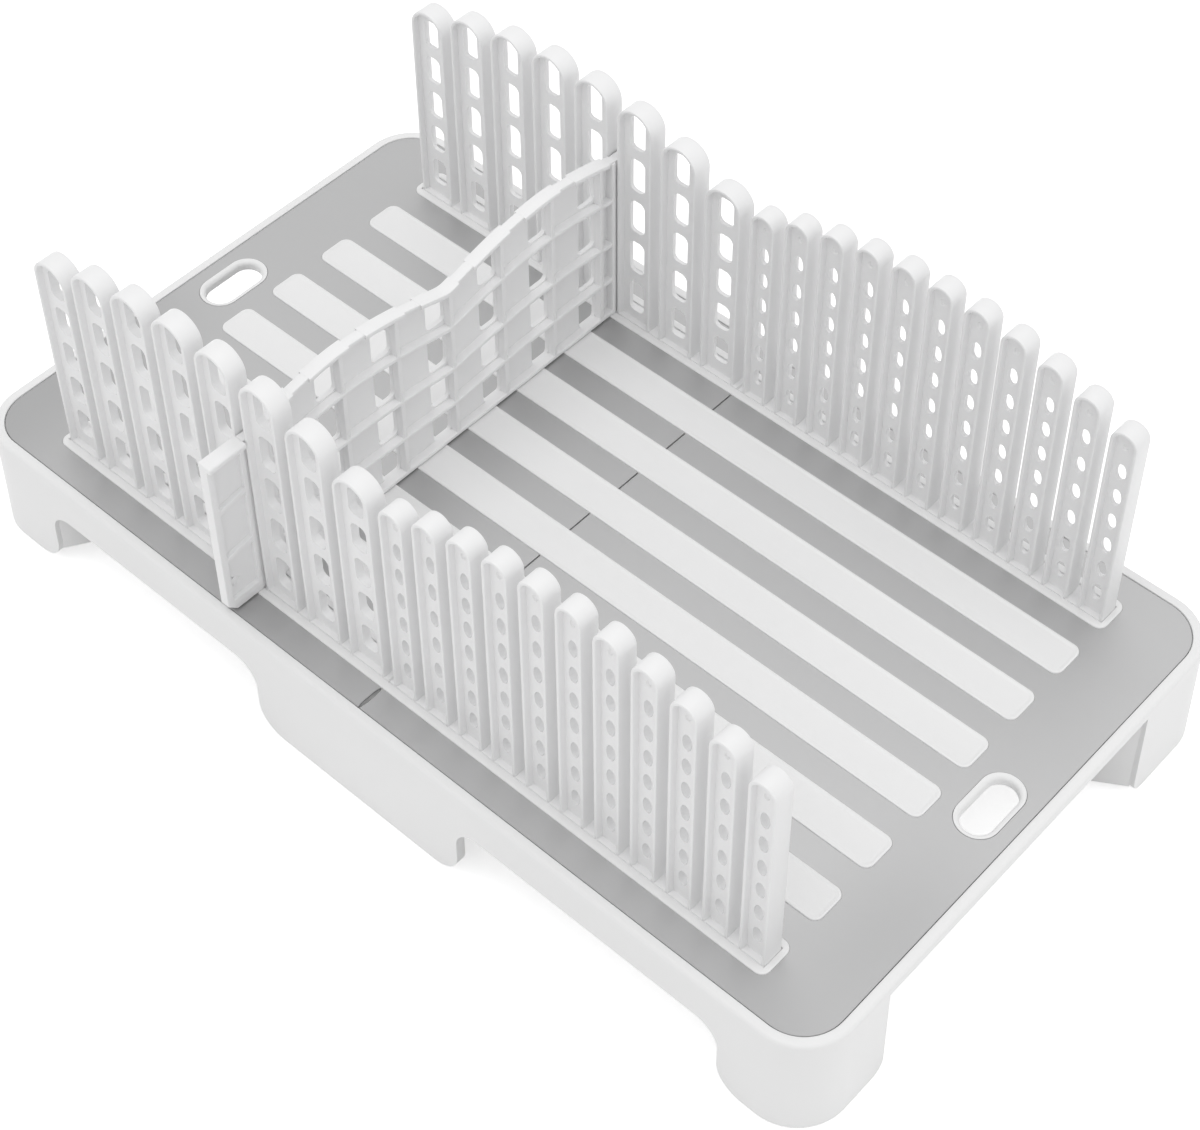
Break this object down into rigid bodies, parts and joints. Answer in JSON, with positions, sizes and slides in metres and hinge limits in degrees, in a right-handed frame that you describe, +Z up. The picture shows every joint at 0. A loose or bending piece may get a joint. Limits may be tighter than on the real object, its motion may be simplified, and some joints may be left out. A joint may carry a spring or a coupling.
{
  "type": "bread slicing guide",
  "caption": "Low white table with a brushed steel top and plug-in finger combs on both long sides that guide a knife, wide gaps on the left, close ones on the right, and a lift-out bread stop.",
  "frame": {"origin": "middle of the footprint, on the surface that the pads stand on", "axes": "+X along the length towards the closely spaced fingers, +Y from the front comb to the back comb, +Z up"},
  "size_m": [0.3152, 0.1804, 0.1234],
  "materials": {
    "white_plastic": "fine satin moulding",
    "comb_plastic": "satin moulding",
    "brushed_steel": "finely brushed along the length",
    "pad_rubber": "matt"
  },
  "bodies": {
    "table": {"base_frame": "white_plastic", "steel_deck_left": "brushed_steel", "steel_deck_right": "brushed_steel", "foot_pad_1": "pad_rubber", "foot_pad_2": "pad_rubber", "foot_pad_3": "pad_rubber", "foot_pad_4": "pad_rubber", "foot_pad_5": "pad_rubber", "foot_pad_6": "pad_rubber"},
    "front_wide_comb": {"comb_front_wide": "comb_plastic"},
    "front_narrow_comb": {"comb_front_narrow": "comb_plastic"},
    "back_wide_comb": {"comb_back_wide": "comb_plastic"},
    "back_narrow_comb": {"comb_back_narrow": "comb_plastic"},
    "stop": {"bread_stop": "comb_plastic"}
  },
  "joints": [
    {"name": "front_wide_comb_lift", "type": "slide", "parent": "table", "child": "front_wide_comb", "axis": [0, 0, 1], "range_m": [0, 0.045]},
    {"name": "back_wide_comb_lift", "type": "slide", "parent": "table", "child": "back_wide_comb", "axis": [0, 0, 1], "range_m": [0, 0.045]},
    {"name": "front_narrow_comb_lift", "type": "slide", "parent": "table", "child": "front_narrow_comb", "axis": [0, 0, 1], "range_m": [0, 0.045]},
    {"name": "back_narrow_comb_lift", "type": "slide", "parent": "table", "child": "back_narrow_comb", "axis": [0, 0, 1], "range_m": [0, 0.045]},
    {"name": "stop_lift", "type": "slide", "parent": "front_wide_comb", "child": "stop", "axis": [0, 0, 1], "range_m": [0, 0.095]}
  ],
  "couplings": [
    {"joint": "back_wide_comb_lift", "follows": "front_wide_comb_lift", "ratio": 1}
  ]
}
